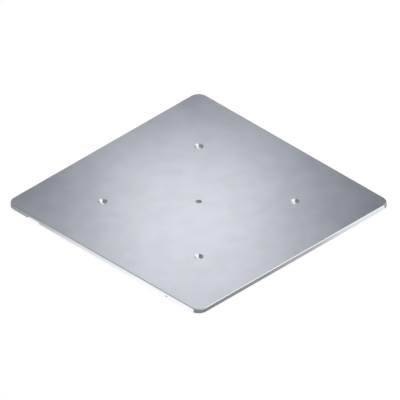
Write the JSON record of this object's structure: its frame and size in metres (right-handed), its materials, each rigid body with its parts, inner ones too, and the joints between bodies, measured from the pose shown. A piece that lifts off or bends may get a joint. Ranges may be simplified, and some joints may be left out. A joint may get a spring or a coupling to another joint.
{
  "type": "square cover plate",
  "caption": "Flat square metal cover plate with round corners, a bevelled top rim, countersunk screw holes, a tapped centre hole and shallow pry notches under one side.",
  "frame": {"origin": "middle of the underside, which is the plane the plate rests on", "axes": "+Z is the outward normal of the countersunk top face, X and Y run along the sides, and the pry notches open in the side that faces -Y"},
  "size_m": [0.32, 0.32, 0.006],
  "materials": {
    "plate_metal": "satin, finely ground face with cut and bevelled edges left brighter"
  },
  "bodies": {
    "root": {"cover_plate": "plate_metal"}
  },
  "joints": []
}
